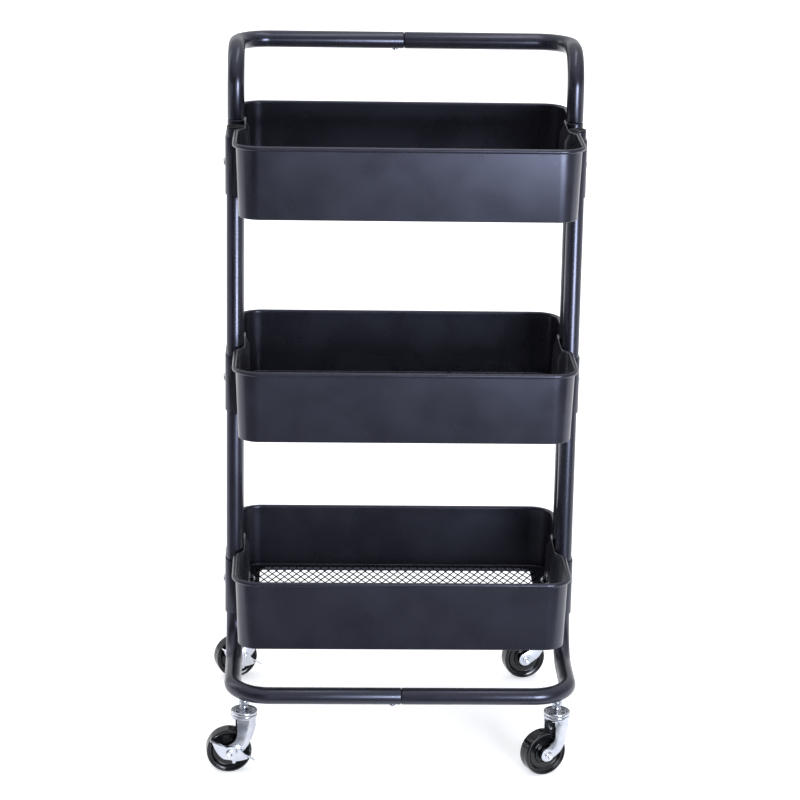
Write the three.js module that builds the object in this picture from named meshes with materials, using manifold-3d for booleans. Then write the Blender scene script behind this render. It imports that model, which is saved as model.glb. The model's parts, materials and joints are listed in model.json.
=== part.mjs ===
// Three-tray rolling pantry cart: bent steel tube frame, pressed steel trays with expanded-metal floors,
// and four swivel casters, two of them with side brakes. Millimetres, +Z up, -Y is the front.
import * as THREE from 'three';
import { ParametricGeometry } from 'three/addons/geometries/ParametricGeometry.js';
import { mergeVertices } from 'three/addons/utils/BufferGeometryUtils.js';
import Module from 'manifold-3d';

const wasm = await Module();
wasm.setup();

// ---------- driving dimensions ----------
const gap = 0.3; // clearance left wherever two pieces meet

const tube = { outer: 9.5, wall: 1.2, sides: 12, boreSides: 8, bendSteps: 5 };
const column = { x: 189.2, y: 20, frontTop: 709.2, rearTop: 711 };
const base = { barY: 157, barZ: 93, legBend: 45, cornerBend: 42 };
const handle = { barY: 115, barZ: 786, bend: 38 };
const spigot = { outer: 7.2, inner: 6.2, length: 28, root: 6 };
const seamScrew = { fromSeam: 10, head: 3.2, headHeight: 1.8, shank: 1.6, reach: 4 };

const rimHeights = { top: 711, middle: 462, bottom: 220 };
const tray = {
  halfWidth: 190.4, halfDepth: 140, height: 81.2, corner: 30, cornerSteps: 5,
  recess: 11.3, recessInner: 28, recessOuter: 46, floor: 74, sheet: 0.9,
};
const opening = { halfWidth: 162, halfDepth: 123, corner: 14 };
const meshFloor = { halfWidth: 169.5, halfDepth: 128.5, corner: 16, thickness: 0.8 };

const strap = { sheet: 1.2, height: 64, belowRim: 12.5, legEnd: 177.2 };
const strapScrew = { head: 4.75, headHeight: 2.8, shank: 2.4, tip: 166, hole: 2.9 };
const nut = { acrossCorners: 4.62, thickness: 4, outerFace: 171.9 };
const cap = { flange: 1.5, plugRadius: 7.2, plugDepth: 10 };

const caster = {
  bendAngle: 47, trail: 17, headRadius: 15, forkRadius: 13.5, armSheet: 2, eyeRadius: 9,
  plateBottom: 68.3, plateTop: 72.8, cupBottom: 64, cupTop: 68, webBottom: 60,
  stem: 3.9, stemTop: 92, kingpin: 3, collar: 5.65, collarBottom: 78.5, segments: 12,
};
const wheel = { radius: 25.4, halfTread: 6.5, halfWidth: 8.5, hub: 8.5, hubHalfLength: 10.5, bore: 3.3, segments: 18 };
const axle = { shank: 2.9, head: 4.4, headHeight: 1.7, hole: 3.2 };
const brakePlate = { inner: 13.9, sheet: 1.2, flange: 4, hole: 3.2 };

// The way each caster has come to rest, turned about its stem from trailing straight towards -X.
const casters = [
  { name: 'front_left', side: -1, end: -1, turn: 6, brake: true },
  { name: 'front_right', side: 1, end: -1, turn: 26, brake: false },
  { name: 'rear_left', side: -1, end: 1, turn: 19, brake: true },
  { name: 'rear_right', side: 1, end: 1, turn: 15, brake: false },
];

// ---------- finishes ----------
const finish = {
  powderCoat: { color: 0x1b1b20, roughness: 0.42, metalness: 0.1 },
  meshCoat: { color: 0x17171b, roughness: 0.5, metalness: 0.1 },
  zinc: { color: 0xc4c8cf, roughness: 0.25, metalness: 0.9 },
  wheelPlastic: { color: 0x141416, roughness: 0.22, metalness: 0 },
  capPlastic: { color: 0x202024, roughness: 0.55, metalness: 0 },
};

// ---------- geometry helpers ----------
const vec = (x, y, z) => new THREE.Vector3(x, y, z);
const degrees = THREE.MathUtils.degToRad;

// Merges shared vertices and drops the empty triangles that a lathe leaves at its poles.
function closedGeometry(geometry) {
  const bare = geometry.clone();
  bare.deleteAttribute('normal');
  bare.deleteAttribute('uv');
  const merged = mergeVertices(bare, 1e-4);
  const index = merged.index.array;
  const kept = [];
  for (let i = 0; i < index.length; i += 3) {
    const [a, b, c] = [index[i], index[i + 1], index[i + 2]];
    if (a !== b && b !== c && c !== a) kept.push(a, b, c);
  }
  merged.setIndex(kept);
  return merged;
}

function toSolid(geometry) {
  const closed = closedGeometry(geometry);
  return new wasm.Manifold(new wasm.Mesh({
    numProp: 3,
    vertProperties: new Float32Array(closed.attributes.position.array),
    triVerts: new Uint32Array(closed.index.array),
  }));
}

function toGeometry(solid) {
  const mesh = solid.getMesh();
  const geometry = new THREE.BufferGeometry();
  geometry.setAttribute('position', new THREE.BufferAttribute(new Float32Array(mesh.vertProperties), 3));
  geometry.setIndex(Array.from(mesh.triVerts));
  return geometry;
}

// A straight bar of circular section from one point to another.
function rod(from, to, radius, sides = 12) {
  const geometry = new THREE.CylinderGeometry(radius, radius, from.distanceTo(to), sides);
  const turn = new THREE.Quaternion().setFromUnitVectors(vec(0, 1, 0), to.clone().sub(from).normalize());
  geometry.applyQuaternion(turn);
  const middle = from.clone().add(to).multiplyScalar(0.5);
  return geometry.translate(middle.x, middle.y, middle.z);
}

// A turned piece: profile points are [radius, height], and the axis of turning becomes the given direction.
function turned(profile, segments, axis = vec(0, 0, 1)) {
  const geometry = new THREE.LatheGeometry(profile.map(([r, h]) => new THREE.Vector2(r, h)), segments);
  return geometry.applyQuaternion(new THREE.Quaternion().setFromUnitVectors(vec(0, 1, 0), axis));
}

// A flat outline pulled up along +Z from the given height.
function pulledUp(shape, bottom, height, curveSegments = 6) {
  const geometry = new THREE.ExtrudeGeometry(shape, { depth: height, bevelEnabled: false, curveSegments });
  return geometry.translate(0, 0, bottom);
}

// A side view drawn in X and Z, given a width across Y between two limits.
function acrossY(shape, low, high, curveSegments = 6) {
  const geometry = new THREE.ExtrudeGeometry(shape, { depth: high - low, bevelEnabled: false, curveSegments });
  return geometry.rotateX(Math.PI / 2).translate(0, high, 0);
}

function roundedRectangle(halfWidth, halfDepth, corner) {
  const shape = new THREE.Shape();
  const [x, y] = [halfWidth - corner, halfDepth - corner];
  shape.absarc(x, y, corner, 0, Math.PI / 2);
  shape.absarc(-x, y, corner, Math.PI / 2, Math.PI);
  shape.absarc(-x, -y, corner, Math.PI, Math.PI * 1.5);
  shape.absarc(x, -y, corner, Math.PI * 1.5, Math.PI * 2);
  return shape;
}

// ---------- bent tubes ----------
// A path through given stations, so that straight runs take one step and bends take several.
class StationPath extends THREE.Curve {
  constructor(stations) {
    super();
    this.stations = stations;
  }
  station(u) {
    return Math.round(u * (this.stations.length - 1));
  }
  getPointAt(u, target = vec(0, 0, 0)) {
    return target.copy(this.stations[this.station(u)]);
  }
  getTangentAt(u, target = vec(0, 0, 0)) {
    const i = this.station(u);
    const before = this.stations[Math.max(i - 1, 0)];
    const after = this.stations[Math.min(i + 1, this.stations.length - 1)];
    const here = this.stations[i];
    const [into, out] = [here.clone().sub(before).normalize(), after.clone().sub(here).normalize()];
    return target.copy(into.add(out)).normalize();
  }
  getSpacedPoints(divisions) {
    return Array.from({ length: divisions + 1 }, (_, i) => this.getPointAt(i / divisions));
  }
}

// Stations along a line of corners, each inner corner rounded to its bend radius.
function bentStations(corners, radii) {
  const stations = [corners[0]];
  radii.forEach((radius, i) => {
    const corner = corners[i + 1];
    const back = corners[i].clone().sub(corner).normalize();
    const ahead = corners[i + 2].clone().sub(corner).normalize();
    const half = back.angleTo(ahead) / 2;
    const centre = corner.clone().addScaledVector(back.clone().add(ahead).normalize(), radius / Math.sin(half));
    const start = corner.clone().addScaledVector(back, radius / Math.tan(half)).sub(centre);
    const turn = Math.PI - 2 * half;
    const hinge = new THREE.Vector3().crossVectors(back.clone().negate(), ahead).normalize();
    for (let k = 0; k <= tube.bendSteps; k += 1) {
      stations.push(start.clone().applyAxisAngle(hinge, turn * k / tube.bendSteps).add(centre));
    }
  });
  stations.push(corners[corners.length - 1]);
  return stations;
}

function barAlong(stations, radius, sides = tube.sides) {
  const section = new THREE.Shape().absarc(0, 0, radius, 0, Math.PI * 2);
  return new THREE.ExtrudeGeometry(section, {
    steps: stations.length - 1, extrudePath: new StationPath(stations), bevelEnabled: false,
    curveSegments: sides / 2,
  });
}

function tubeAlong(stations) {
  const last = stations.length - 1;
  const past = (end, next) => end.clone().addScaledVector(end.clone().sub(next).normalize(), 1);
  const bore = [past(stations[0], stations[1]), ...stations.slice(1, last), past(stations[last], stations[last - 1])];
  const hollow = toSolid(barAlong(bore, tube.outer - tube.wall, tube.boreSides));
  return toSolid(barAlong(stations, tube.outer)).subtract(hollow);
}

// The thinner neck at a tube's end, which plugs into the next tube. It starts at the end and points outwards.
function neck(end, direction) {
  const wallMiddle = tube.outer - tube.wall / 2;
  const profile = [
    [spigot.inner, -spigot.root], [wallMiddle, -spigot.root], [wallMiddle, -1], [spigot.outer, 0],
    [spigot.outer, spigot.length - 2], [spigot.outer - 0.6, spigot.length], [spigot.inner, spigot.length],
    [spigot.inner, -spigot.root],
  ];
  return turned(profile, tube.boreSides, direction).translate(end.x, end.y, end.z);
}

function frameStations(side, end) {
  const top = end < 0 ? column.frontTop : column.rearTop;
  const x = side * column.x;
  return bentStations([
    vec(x, end * column.y, top), vec(x, end * column.y, base.barZ), vec(x, end * base.barY, base.barZ),
    vec(side * gap / 2, end * base.barY, base.barZ),
  ], [base.legBend, base.cornerBend]);
}

function handleStations(side) {
  const x = side * column.x;
  return bentStations([
    vec(x, column.y, column.rearTop + gap), vec(x, column.y, handle.barZ), vec(x, handle.barY, handle.barZ),
    vec(side * gap / 2, handle.barY, handle.barZ),
  ], [handle.bend, handle.bend]);
}

const down = vec(0, 0, -1);
const towardsLeft = vec(-1, 0, 0);

function screwHole(seam) {
  const at = seam.clone().add(vec(-seamScrew.fromSeam, 0, 0));
  return toSolid(rod(at.clone().add(vec(0, 0, -tube.outer - 1)), at, seamScrew.shank + gap, 8));
}

function stemPlace(side, end) {
  const angle = degrees(caster.bendAngle);
  return {
    x: side * (column.x - base.cornerBend + base.cornerBend * Math.cos(angle)),
    y: end * (base.barY - base.cornerBend + base.cornerBend * Math.sin(angle)),
  };
}

// One corner of the frame: an upright that bends out to a leg and then across to half of the base bar.
function frameTube(side, end) {
  const seam = vec(0, end * base.barY, base.barZ);
  const { x, y } = stemPlace(side, end);
  let solid = tubeAlong(frameStations(side, end));
  if (side > 0) solid = solid.add(toSolid(neck(seam, towardsLeft)));
  const stemHole = toSolid(rod(vec(x, y, base.barZ - tube.outer - 1), vec(x, y, base.barZ), caster.stem + gap));
  return toGeometry(solid.subtract(screwHole(seam)).subtract(stemHole));
}

function handleTube(side) {
  const seam = vec(0, handle.barY, handle.barZ);
  const foot = vec(side * column.x, column.y, column.rearTop + gap);
  let solid = tubeAlong(handleStations(side)).add(toSolid(neck(foot, down)));
  if (side > 0) solid = solid.add(toSolid(neck(seam, towardsLeft)));
  return toGeometry(solid.subtract(screwHole(seam)));
}

function seamScrewGeometry() {
  const underside = -tube.outer - gap;
  return turned([
    [0, underside - seamScrew.headHeight], [seamScrew.head * 0.6, underside - seamScrew.headHeight],
    [seamScrew.head, underside - seamScrew.headHeight / 2], [seamScrew.head, underside],
    [seamScrew.shank, underside], [seamScrew.shank, underside + seamScrew.reach], [0, underside + seamScrew.reach],
  ], 8);
}

// Flat plastic cap on a front upright's open top, with its plug inside the tube.
function columnCap() {
  return turned([
    [0, -cap.plugDepth], [cap.plugRadius, -cap.plugDepth], [cap.plugRadius, gap], [tube.outer, gap],
    [tube.outer, gap + cap.flange - 0.5], [tube.outer - 0.6, gap + cap.flange], [0, gap + cap.flange],
  ], tube.sides);
}

// ---------- trays ----------
const recessStations = [28, 32, 35.5, 38.5, 42, 46];

// How far in the short side is dished at a distance y from the middle, from 0 to 1.
function recessShare(y) {
  const t = (Math.abs(y) - tray.recessInner) / (tray.recessOuter - tray.recessInner);
  return 0.5 * (1 + Math.cos(Math.PI * THREE.MathUtils.clamp(t, 0, 1)));
}

// Outline of a tray, counter-clockwise from the middle of the right side's front end, always the same count.
function trayOutline(halfWidth, halfDepth, corner, recess) {
  const rightSide = [...recessStations.map((y) => -y).reverse(), ...recessStations]
    .map((y) => new THREE.Vector2(halfWidth - recess * recessShare(y), y));
  const leftSide = rightSide.map((point) => point.clone().negate());
  const roundCorner = (signX, signY, startAngle) => Array.from({ length: tray.cornerSteps + 1 }, (_, k) => {
    const angle = startAngle + Math.PI / 2 * k / tray.cornerSteps;
    return new THREE.Vector2(
      signX * (halfWidth - corner) + corner * Math.cos(angle),
      signY * (halfDepth - corner) + corner * Math.sin(angle),
    );
  });
  return [
    ...rightSide, ...roundCorner(1, 1, 0), ...roundCorner(-1, 1, Math.PI / 2),
    ...leftSide, ...roundCorner(-1, -1, Math.PI), ...roundCorner(1, -1, Math.PI * 1.5),
  ];
}

// Sheet section from the floor flange's edge, under the curled foot, up the tapered wall, over the rolled rim
// and back down inside. Each row is [distance in from the rim's outline, height below the rim].
const footInset = 6.9;
const rimInset = 4.1;
const wallSection = [
  [12, -tray.floor - tray.sheet], [10.5, -tray.height + 0.6], [8.4, -tray.height], [footInset, -tray.height + 2.7],
  [rimInset, -5.2], [1, -5], [0, -2.6], [1.1, -0.5], [2.6, 0], [4.5, -0.6], [rimInset + tray.sheet, -2.6],
  [footInset + tray.sheet, -tray.floor],
];

function trayShell() {
  const rings = wallSection.map(([inset, height]) => ({
    height,
    outline: trayOutline(tray.halfWidth - inset, tray.halfDepth - inset, tray.corner - inset, tray.recess),
  }));
  const edge = trayOutline(opening.halfWidth, opening.halfDepth, opening.corner, 0);
  rings.push({ height: -tray.floor, outline: edge }, { height: -tray.floor - tray.sheet, outline: edge });
  const count = edge.length;
  const surface = (u, v, target) => {
    const ring = rings[Math.round(v * rings.length) % rings.length];
    const point = ring.outline[Math.round(u * count) % count];
    target.set(point.x, point.y, ring.height);
  };
  const middle = -strap.belowRim - strap.height / 2;
  const screwPath = rod(vec(-tray.halfWidth, 0, middle), vec(tray.halfWidth, 0, middle), strapScrew.hole, 10);
  return toGeometry(toSolid(new ParametricGeometry(surface, count, rings.length)).subtract(toSolid(screwPath)));
}

function meshFloorGeometry() {
  const outline = roundedRectangle(meshFloor.halfWidth, meshFloor.halfDepth, meshFloor.corner);
  return pulledUp(outline, -tray.floor + gap, meshFloor.thickness, 4);
}

// ---------- straps that clamp each pair of uprights to a tray ----------
function strapGeometry() {
  const inner = tube.outer + gap;
  const outer = inner + strap.sheet;
  const shape = new THREE.Shape();
  shape.moveTo(strap.legEnd, -column.y - outer);
  shape.lineTo(column.x, -column.y - outer);
  shape.absarc(column.x, -column.y, outer, -Math.PI / 2, 0);
  shape.absarc(column.x, column.y, outer, 0, Math.PI / 2);
  shape.lineTo(strap.legEnd, column.y + outer);
  shape.lineTo(strap.legEnd, column.y + inner);
  shape.absarc(column.x, column.y, inner, Math.PI / 2, 0, true);
  shape.absarc(column.x, -column.y, inner, 0, -Math.PI / 2, true);
  shape.lineTo(strap.legEnd, -column.y - inner);
  const band = toSolid(pulledUp(shape, -strap.height / 2, strap.height, 4));
  const face = column.x + outer;
  return toGeometry(band.subtract(toSolid(rod(vec(face - 5, 0, 0), vec(face + 5, 0, 0), strapScrew.hole, 10))));
}

function strapScrewGeometry() {
  const seat = column.x + tube.outer + gap + strap.sheet + gap / 2;
  return turned([
    [0, strapScrew.tip], [strapScrew.shank, strapScrew.tip], [strapScrew.shank, seat], [strapScrew.head, seat],
    [strapScrew.head, seat + 0.8], [strapScrew.head * 0.75, seat + strapScrew.headHeight * 0.8],
    [strapScrew.head * 0.35, seat + strapScrew.headHeight], [0, seat + strapScrew.headHeight],
  ], 8, vec(1, 0, 0));
}

function nutGeometry() {
  const inside = (strapScrew.shank + gap) / Math.cos(Math.PI / 6);
  const inner = nut.outerFace - nut.thickness;
  return turned([
    [inside, inner], [nut.acrossCorners, inner], [nut.acrossCorners, nut.outerFace], [inside, nut.outerFace],
    [inside, inner],
  ], 6, vec(1, 0, 0));
}

// ---------- casters: stem axis at the origin, trailing towards -X, floor at height 0 ----------
function stemGeometry() {
  const flange = caster.headRadius + 0.2;
  return turned([
    [0, caster.webBottom - 2.2], [5.2, caster.webBottom - 2.2], [5.2, caster.webBottom - gap],
    [caster.kingpin, caster.webBottom - gap], [caster.kingpin, caster.plateBottom], [flange, caster.plateBottom],
    [flange, caster.plateBottom + 1.9], [flange - 1.6, caster.plateTop - 1], [6, caster.plateTop],
    [caster.stem, caster.plateTop + 0.4], [caster.stem, caster.stemTop], [0, caster.stemTop],
  ], caster.segments);
}

// Welded nut between the base tube and the caster; its top is shaped to the underside of the tube.
function collarGeometry(side, end) {
  const { x, y } = stemPlace(side, end);
  const block = toSolid(rod(vec(x, y, caster.collarBottom), vec(x, y, base.barZ - 2), caster.collar, 8));
  const bore = toSolid(rod(vec(x, y, caster.collarBottom - 1), vec(x, y, base.barZ), caster.stem + 2 * gap, 8));
  const bar = toSolid(barAlong(frameStations(side, end), tube.outer + gap));
  return toGeometry(block.subtract(bore).subtract(bar));
}

// Side view of the fork: from the swivel cup down the nose, round the axle eye and back up.
function forkSideView() {
  const [x, z, r] = [-caster.trail, wheel.radius, caster.eyeRadius];
  const shape = new THREE.Shape();
  shape.moveTo(caster.forkRadius, caster.cupBottom + 0.2);
  shape.lineTo(caster.forkRadius, 53);
  shape.bezierCurveTo(12, 44, 7, 33, -0.7, 25.6);
  shape.lineTo(x + r * Math.cos(-0.9), z + r * Math.sin(-0.9));
  shape.absarc(x, z, r, -0.9, -Math.PI * 1.28, true);
  shape.bezierCurveTo(-16, 36.5, -8.6, 38.5, -8.5, 47);
  shape.lineTo(-8.5, caster.cupBottom + 0.2);
  return shape;
}

// A channel seen from above, closed by a half circle at the nose and open towards the wheel.
function channel(radius) {
  const shape = new THREE.Shape();
  shape.moveTo(-40, -radius);
  shape.lineTo(0, -radius);
  shape.absarc(0, 0, radius, -Math.PI / 2, Math.PI / 2);
  shape.lineTo(-40, radius);
  return shape;
}

function forkGeometry() {
  const r = caster.forkRadius;
  const outside = toSolid(pulledUp(channel(r), 0, caster.cupBottom + 0.2, 4));
  const inside = toSolid(pulledUp(channel(r - caster.armSheet), -1, caster.webBottom + 1, 4));
  const sideView = toSolid(acrossY(forkSideView(), -r - 1, r + 1, 4));
  const cup = toSolid(turned([
    [0, caster.cupBottom], [caster.headRadius - 1, caster.cupBottom], [caster.headRadius, caster.cupBottom + 1.2],
    [caster.headRadius, caster.cupTop], [0, caster.cupTop],
  ], caster.segments));
  const kingpinHole = toSolid(rod(vec(0, 0, 50), vec(0, 0, 75), caster.kingpin + gap, caster.segments));
  const axleHole = toSolid(rod(
    vec(-caster.trail, -20, wheel.radius), vec(-caster.trail, 20, wheel.radius), axle.hole, 10));
  return toGeometry(outside.intersect(sideView).subtract(inside).add(cup).subtract(kingpinHole).subtract(axleHole));
}

function wheelGeometry() {
  const halfSide = [
    [wheel.hub, wheel.hubHalfLength], [wheel.hub, 3], [19, 3], [19.8, 7.8], [23.6, wheel.halfWidth],
    [wheel.radius, wheel.halfTread],
  ];
  const otherSide = halfSide.map(([r, h]) => [r, -h]).reverse();
  return turned([
    [wheel.bore, -wheel.hubHalfLength], ...otherSide.reverse(), ...halfSide.reverse(),
    [wheel.bore, wheel.hubHalfLength], [wheel.bore, -wheel.hubHalfLength],
  ], wheel.segments, vec(0, 1, 0));
}

function axleGeometry(braked) {
  const far = caster.forkRadius + gap;
  const near = braked ? brakePlate.inner + brakePlate.sheet + gap : far;
  return turned([
    [0, -near - axle.headHeight], [axle.head - 1, -near - axle.headHeight], [axle.head, -near - axle.headHeight / 2],
    [axle.head, -near], [axle.shank, -near], [axle.shank, far], [axle.head, far],
    [axle.head, far + axle.headHeight / 2], [axle.head - 1, far + axle.headHeight], [0, far + axle.headHeight],
  ], 10, vec(0, 1, 0));
}

// Brake lever in the wheel's own plane, centred on the axle: a rocking plate with one strip folded outwards
// along its top, which runs on as a foot tab at each end.
function brakeGeometry() {
  const plate = new THREE.Shape();
  plate.moveTo(-20.5, 16.6);
  plate.quadraticCurveTo(-16.5, 0, -7, -6.6);
  plate.lineTo(2.6, -8.6);
  plate.lineTo(3.2, -12.2);
  plate.lineTo(6, -12.2);
  plate.lineTo(6.8, -9.7);
  plate.quadraticCurveTo(14, -9.6, 20.4, -7);
  plate.lineTo(15.6, -0.4);
  plate.lineTo(9.4, 7);
  plate.lineTo(3, 8.8);
  plate.lineTo(-4.5, 7.8);
  plate.holes.push(new THREE.Path().absarc(0, 0, brakePlate.hole, 0, Math.PI * 2, true));
  const strip = new THREE.Shape();
  strip.moveTo(-21.6, 17.2);
  strip.lineTo(-4.6, 8.8);
  strip.lineTo(3.2, 9.8);
  strip.lineTo(10, 7.8);
  strip.lineTo(16.4, 0.2);
  strip.lineTo(27.8, -7.6);
  strip.lineTo(27.1, -8.6);
  strip.lineTo(15.4, -0.6);
  strip.lineTo(9.2, 6.8);
  strip.lineTo(3.1, 8.6);
  strip.lineTo(-4.8, 7.6);
  strip.lineTo(-22, 16.1);
  const inner = -brakePlate.inner;
  const outer = inner - brakePlate.sheet;
  const blade = toSolid(acrossY(plate, outer, inner, 5));
  const fold = toSolid(acrossY(strip, outer - brakePlate.flange, inner, 5));
  return toGeometry(blade.add(fold));
}

// ---------- assembly ----------
const cart = new THREE.Group();

function place(parent, name, geometry, look, position = [0, 0, 0], turnZ = 0) {
  const mesh = new THREE.Mesh(closedGeometry(geometry), new THREE.MeshStandardMaterial(finish[look]));
  mesh.name = name;
  mesh.position.set(...position);
  mesh.rotation.z = turnZ;
  parent.add(mesh);
  return mesh;
}

function addFrame() {
  for (const [sideName, side] of [['left', -1], ['right', 1]]) {
    place(cart, `front_frame_${sideName}`, frameTube(side, -1), 'powderCoat');
    place(cart, `rear_frame_${sideName}`, frameTube(side, 1), 'powderCoat');
    place(cart, `handle_${sideName}`, handleTube(side), 'powderCoat');
    const capPlace = [side * column.x, -column.y, column.frontTop];
    place(cart, `front_cap_${sideName}`, columnCap(), 'capPlastic', capPlace);
  }
  const screw = seamScrewGeometry();
  place(cart, 'handle_screw', screw, 'zinc', [-seamScrew.fromSeam, handle.barY, handle.barZ]);
  place(cart, 'front_base_screw', screw, 'zinc', [-seamScrew.fromSeam, -base.barY, base.barZ]);
  place(cart, 'rear_base_screw', screw, 'zinc', [-seamScrew.fromSeam, base.barY, base.barZ]);
}

function addTrays() {
  const shell = trayShell();
  const mesh = meshFloorGeometry();
  const clamp = strapGeometry();
  const screw = strapScrewGeometry();
  const hexNut = nutGeometry();
  for (const [level, rim] of Object.entries(rimHeights)) {
    place(cart, `${level}_tray`, shell, 'powderCoat', [0, 0, rim]);
    place(cart, `${level}_tray_mesh`, mesh, 'meshCoat', [0, 0, rim]);
    const clampHeight = rim - strap.belowRim - strap.height / 2;
    for (const [sideName, turn] of [['left', Math.PI], ['right', 0]]) {
      place(cart, `${level}_strap_${sideName}`, clamp, 'powderCoat', [0, 0, clampHeight], turn);
      place(cart, `${level}_strap_screw_${sideName}`, screw, 'zinc', [0, 0, clampHeight], turn);
      place(cart, `${level}_strap_nut_${sideName}`, hexNut, 'zinc', [0, 0, clampHeight], turn);
    }
  }
}

function addCasters() {
  for (const { name, side, end, turn, brake } of casters) {
    const { x, y } = stemPlace(side, end);
    place(cart, `${name}_collar`, collarGeometry(side, end), 'zinc');
    place(cart, `${name}_stem`, stemGeometry(), 'zinc', [x, y, 0]);
    const swivel = new THREE.Group();
    swivel.position.set(x, y, 0);
    swivel.rotation.z = degrees(turn);
    cart.add(swivel);
    place(swivel, `${name}_fork`, forkGeometry(), 'zinc');
    const hubPlace = [-caster.trail, 0, wheel.radius];
    place(swivel, `${name}_wheel`, wheelGeometry(), 'wheelPlastic', hubPlace);
    place(swivel, `${name}_axle`, axleGeometry(brake), 'zinc', hubPlace);
    if (brake) place(swivel, `${name}_brake`, brakeGeometry(), 'zinc', hubPlace);
  }
}

addFrame();
addTrays();
addCasters();

// The origin is on the floor, under the middle of the whole cart as its casters stand.
cart.updateMatrixWorld(true);
const middle = new THREE.Box3().setFromObject(cart).getCenter(vec(0, 0, 0));
cart.position.set(-middle.x, -middle.y, 0);
cart.updateMatrixWorld(true);

export default cart;
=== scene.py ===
import json
import math

import bmesh
import bpy
from mathutils import Matrix, Vector

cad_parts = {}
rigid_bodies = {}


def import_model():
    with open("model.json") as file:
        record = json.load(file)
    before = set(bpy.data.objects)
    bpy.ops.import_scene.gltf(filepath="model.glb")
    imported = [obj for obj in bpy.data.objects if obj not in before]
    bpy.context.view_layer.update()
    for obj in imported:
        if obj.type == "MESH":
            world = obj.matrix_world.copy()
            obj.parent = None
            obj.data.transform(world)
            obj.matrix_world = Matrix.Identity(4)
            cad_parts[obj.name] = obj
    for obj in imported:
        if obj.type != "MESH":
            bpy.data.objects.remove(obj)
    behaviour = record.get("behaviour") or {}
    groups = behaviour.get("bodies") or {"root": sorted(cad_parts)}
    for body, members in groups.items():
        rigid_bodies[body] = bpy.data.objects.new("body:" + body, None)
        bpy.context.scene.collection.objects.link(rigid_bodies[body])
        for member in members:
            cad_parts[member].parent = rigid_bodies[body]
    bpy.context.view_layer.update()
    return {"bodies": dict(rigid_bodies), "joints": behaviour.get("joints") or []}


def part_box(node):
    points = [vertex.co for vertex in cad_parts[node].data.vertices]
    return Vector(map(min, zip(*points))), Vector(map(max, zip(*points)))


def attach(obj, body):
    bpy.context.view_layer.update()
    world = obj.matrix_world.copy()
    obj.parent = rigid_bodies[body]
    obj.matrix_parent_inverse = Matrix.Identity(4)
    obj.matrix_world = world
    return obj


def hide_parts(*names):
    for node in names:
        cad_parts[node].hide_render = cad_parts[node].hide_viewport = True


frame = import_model()
scene = bpy.context.scene
MM = 0.001
UP = Vector((0, 0, 1))
LEVELS = ("top", "middle", "bottom")
SIDES = {"left": -1, "right": 1}


# ---------- places taken from the frame, in millimetres about the middle of the trays ----------
def box_mm(node):
    low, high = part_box(node)
    return low / MM, high / MM


def joint_named(name):
    return next(j for j in frame["joints"] if j["name"] == name)


tray_low, tray_high = box_mm("top_tray")
cart_middle = Vector(((tray_low.x + tray_high.x) / 2, (tray_low.y + tray_high.y) / 2, 0))
frame_low, frame_high = (corner - cart_middle for corner in box_mm("front_frame_right"))
handle_high = box_mm("handle_right")[1] - cart_middle
RIMS = {level: box_mm(f"{level}_tray")[1].z for level in LEVELS}

# The steel tube's radius and wall, and the radii of its bends along the middle of the tube.
TUBE = 9.5
WALL = 1.2
LEG_BEND = 45
CORNER_BEND = 42
HANDLE_BEND = 38

# The middle lines of the uprights, base bars and handle bar, and the ends of the tubes.
COLUMN_X = frame_high.x - TUBE
COLUMN_Y = -frame_high.y + TUBE
BASE_Y = -frame_low.y - TUBE
BASE_Z = frame_low.z + TUBE
FRONT_TOP = frame_high.z
HANDLE_Y = handle_high.y - TUBE
HANDLE_Z = handle_high.z - TUBE
REAR_TOP = box_mm("rear_frame_right")[1].z
WHEEL_RADIUS = box_mm("front_right_wheel")[1].z / 2
SEAM_HALF_GAP = 0.15


# ---------- lines and closed skins ----------
SAME_POINT = 1e-4
ON_AXIS = 1e-6
BEND_STEPS = 20
TUBE_SIDES = 40


def plain(points):
    """The first two measures of each point, as a plain pair."""
    return [(p[0], p[1]) for p in points]


def clamped(value):
    return min(max(value, 0), 1)


def rounded(corners, radii, steps):
    """A line of corners, all but the two ends turned into arcs; radii is one measure, or one for each."""
    corners = [Vector(corner) for corner in corners]
    line = []
    for i, corner in enumerate(corners):
        radius = radii[i] if isinstance(radii, (list, tuple)) else radii
        if radius == 0 or i in (0, len(corners) - 1):
            line.append(corner)
            continue
        back = (corners[i - 1] - corner).normalized()
        ahead = (corners[i + 1] - corner).normalized()
        half = back.angle(ahead) / 2
        hub = corner + (back + ahead).normalized() * radius / math.sin(half)
        start = corner + back * radius / math.tan(half) - hub
        end = corner + ahead * radius / math.tan(half) - hub
        swing = start.angle(end)
        for k in range(steps + 1):
            here, there = math.sin((1 - k / steps) * swing), math.sin(k / steps * swing)
            line.append(hub + (start * here + end * there) / math.sin(swing))
    return line


def arc(x, y, radius, start, end, steps):
    """Points of an arc, with its angles in degrees."""
    angles = [math.radians(start + (end - start) * k / steps) for k in range(steps + 1)]
    return [Vector((x + radius * math.cos(a), y + radius * math.sin(a))) for a in angles]


def bezier(a, b, c, d, steps):
    """Points of a cubic curve, without its first one."""
    points = []
    for k in range(1, steps + 1):
        t = k / steps
        mixed = [(1 - t) ** 3 * p + 3 * (1 - t) ** 2 * t * q + 3 * (1 - t) * t * t * r + t ** 3 * s
                 for p, q, r, s in zip(a, b, c, d)]
        points.append(Vector(mixed))
    return points


def facing_out(mesh):
    """Merges points that lie together and turns every face outwards."""
    work = bmesh.new()
    work.from_mesh(mesh)
    bmesh.ops.remove_doubles(work, verts=work.verts, dist=SAME_POINT)
    bmesh.ops.recalc_face_normals(work, faces=work.faces)
    work.to_mesh(mesh)
    work.free()
    return mesh


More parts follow.
